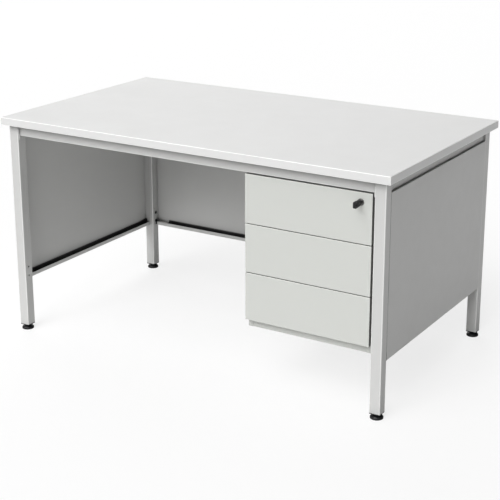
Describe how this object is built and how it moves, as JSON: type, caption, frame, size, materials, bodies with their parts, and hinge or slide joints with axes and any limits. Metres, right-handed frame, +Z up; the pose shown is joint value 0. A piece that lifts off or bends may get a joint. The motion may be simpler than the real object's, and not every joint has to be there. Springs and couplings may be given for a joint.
{
  "type": "teacher desk",
  "caption": "Square-tube teacher desk with laminated top, folded sheet panels and a hanging drawer pedestal, the upper drawer lockable with a folding key.",
  "frame": {"origin": "on the floor under the centre of the tabletop", "axes": "+X towards the pedestal side, -Y towards the seated teacher, +Z up"},
  "size_m": [1.4, 0.816, 0.74],
  "materials": {
    "laminate_top": "light grey melamine laminate on particle board, fine satin",
    "edge_band": "light grey plastic edge band",
    "grey_powder_coat": "light grey powder coat, satin",
    "zinc_steel": "zinc plated steel",
    "black_plastic": "black moulded plastic",
    "pedestal_board": "light grey melamine faced board",
    "drawer_front_board": "light grey melamine faced board with matching edge",
    "drawer_box_board": "white melamine faced board",
    "clear_rubber": "soft translucent rubber",
    "nickel_lock": "nickel plated, satin",
    "white_plastic": "white nylon"
  },
  "bodies": {
    "frame": {"tabletop_board": "laminate_top", "tabletop_edge_bands": "edge_band", "top_fixing_tabs": "grey_powder_coat", "tabletop_screws": "zinc_steel", "leg_front_left": "grey_powder_coat", "leg_front_right": "grey_powder_coat", "leg_back_left": "grey_powder_coat", "leg_back_right": "grey_powder_coat", "leg_end_caps": "black_plastic", "front_rail": "grey_powder_coat", "back_rail": "grey_powder_coat", "left_rail": "grey_powder_coat", "right_rail": "grey_powder_coat", "front_rail_end_plates": "grey_powder_coat", "left_panel": "grey_powder_coat", "right_panel": "grey_powder_coat", "back_panel": "grey_powder_coat", "back_panel_screws": "zinc_steel", "pedestal_left_side": "pedestal_board", "pedestal_right_side": "pedestal_board", "pedestal_top": "pedestal_board", "pedestal_bottom": "pedestal_board", "pedestal_back": "pedestal_board", "pedestal_screws": "zinc_steel", "lock_strike": "zinc_steel", "drawer_bumpers": "clear_rubber", "cabinet_runners_left": "zinc_steel", "cabinet_runners_right": "zinc_steel"},
    "drawer_1": {"drawer_1_front": "drawer_front_board", "drawer_1_sides": "drawer_box_board", "drawer_1_back": "drawer_box_board", "drawer_1_bottom": "drawer_box_board", "drawer_1_runners": "zinc_steel", "lock_housing": "nickel_lock"},
    "rear_rollers_1": {"drawer_1_rear_rollers": "white_plastic"},
    "front_rollers_1": {"cabinet_1_front_rollers": "white_plastic"},
    "drawer_2": {"drawer_2_front": "drawer_front_board", "drawer_2_sides": "drawer_box_board", "drawer_2_back": "drawer_box_board", "drawer_2_bottom": "drawer_box_board", "drawer_2_runners": "zinc_steel"},
    "rear_rollers_2": {"drawer_2_rear_rollers": "white_plastic"},
    "front_rollers_2": {"cabinet_2_front_rollers": "white_plastic"},
    "drawer_3": {"drawer_3_front": "drawer_front_board", "drawer_3_sides": "drawer_box_board", "drawer_3_back": "drawer_box_board", "drawer_3_bottom": "drawer_box_board", "drawer_3_runners": "zinc_steel"},
    "rear_rollers_3": {"drawer_3_rear_rollers": "white_plastic"},
    "front_rollers_3": {"cabinet_3_front_rollers": "white_plastic"},
    "lock_plug": {"lock_plug": "nickel_lock", "lock_cam": "zinc_steel"},
    "key": {"key_blade": "nickel_lock"},
    "key_bow": {"key_bow": "black_plastic", "key_pin": "nickel_lock"},
    "foot_front_left": {"levelling_foot_front_left": "black_plastic"},
    "foot_front_right": {"levelling_foot_front_right": "black_plastic"},
    "foot_back_left": {"levelling_foot_back_left": "black_plastic"},
    "foot_back_right": {"levelling_foot_back_right": "black_plastic"}
  },
  "joints": [
    {"name": "drawer_1_slide", "type": "slide", "parent": "frame", "child": "drawer_1", "axis": [0, -1, 0], "range_m": [0, 0.375]},
    {"name": "rear_rollers_1_spin", "type": "hinge", "parent": "drawer_1", "child": "rear_rollers_1", "pos_m": [0.4275, 0.1295, 0.5492], "axis": [1, 0, 0], "range_deg": [0, 2400]},
    {"name": "front_rollers_1_spin", "type": "hinge", "parent": "frame", "child": "front_rollers_1", "pos_m": [0.4275, -0.34, 0.5492], "axis": [1, 0, 0], "range_deg": [0, 2400]},
    {"name": "drawer_2_slide", "type": "slide", "parent": "frame", "child": "drawer_2", "axis": [0, -1, 0], "range_m": [0, 0.375]},
    {"name": "rear_rollers_2_spin", "type": "hinge", "parent": "drawer_2", "child": "rear_rollers_2", "pos_m": [0.4275, 0.1295, 0.3962], "axis": [1, 0, 0], "range_deg": [0, 2400]},
    {"name": "front_rollers_2_spin", "type": "hinge", "parent": "frame", "child": "front_rollers_2", "pos_m": [0.4275, -0.34, 0.3962], "axis": [1, 0, 0], "range_deg": [0, 2400]},
    {"name": "drawer_3_slide", "type": "slide", "parent": "frame", "child": "drawer_3", "axis": [0, -1, 0], "range_m": [0, 0.375]},
    {"name": "rear_rollers_3_spin", "type": "hinge", "parent": "drawer_3", "child": "rear_rollers_3", "pos_m": [0.4275, 0.1295, 0.2432], "axis": [1, 0, 0], "range_deg": [0, 2400]},
    {"name": "front_rollers_3_spin", "type": "hinge", "parent": "frame", "child": "front_rollers_3", "pos_m": [0.4275, -0.34, 0.2432], "axis": [1, 0, 0], "range_deg": [0, 2400]},
    {"name": "lock_turn", "type": "hinge", "parent": "drawer_1", "child": "lock_plug", "pos_m": [0.599, -0.3745, 0.647], "axis": [0, 1, 0], "range_deg": [0, 90]},
    {"name": "key_pull", "type": "slide", "parent": "lock_plug", "child": "key", "axis": [0, -1, 0], "range_m": [0, 0.028]},
    {"name": "key_fold", "type": "hinge", "parent": "key", "child": "key_bow", "pos_m": [0.599, -0.388, 0.647], "axis": [1, 0, 0], "range_deg": [-90, 90]},
    {"name": "foot_front_left_screw", "type": "slide", "parent": "frame", "child": "foot_front_left", "axis": [0, 0, -1], "range_m": [0, 0.012]},
    {"name": "foot_front_right_screw", "type": "slide", "parent": "frame", "child": "foot_front_right", "axis": [0, 0, -1], "range_m": [0, 0.012]},
    {"name": "foot_back_left_screw", "type": "slide", "parent": "frame", "child": "foot_back_left", "axis": [0, 0, -1], "range_m": [0, 0.012]},
    {"name": "foot_back_right_screw", "type": "slide", "parent": "frame", "child": "foot_back_right", "axis": [0, 0, -1], "range_m": [0, 0.012]}
  ],
  "couplings": [
    {"joint": "rear_rollers_1_spin", "follows": "drawer_1_slide", "rad_per_m": 111.11},
    {"joint": "front_rollers_1_spin", "follows": "drawer_1_slide", "rad_per_m": 111.11},
    {"joint": "rear_rollers_2_spin", "follows": "drawer_2_slide", "rad_per_m": 111.11},
    {"joint": "front_rollers_2_spin", "follows": "drawer_2_slide", "rad_per_m": 111.11},
    {"joint": "rear_rollers_3_spin", "follows": "drawer_3_slide", "rad_per_m": 111.11},
    {"joint": "front_rollers_3_spin", "follows": "drawer_3_slide", "rad_per_m": 111.11}
  ]
}
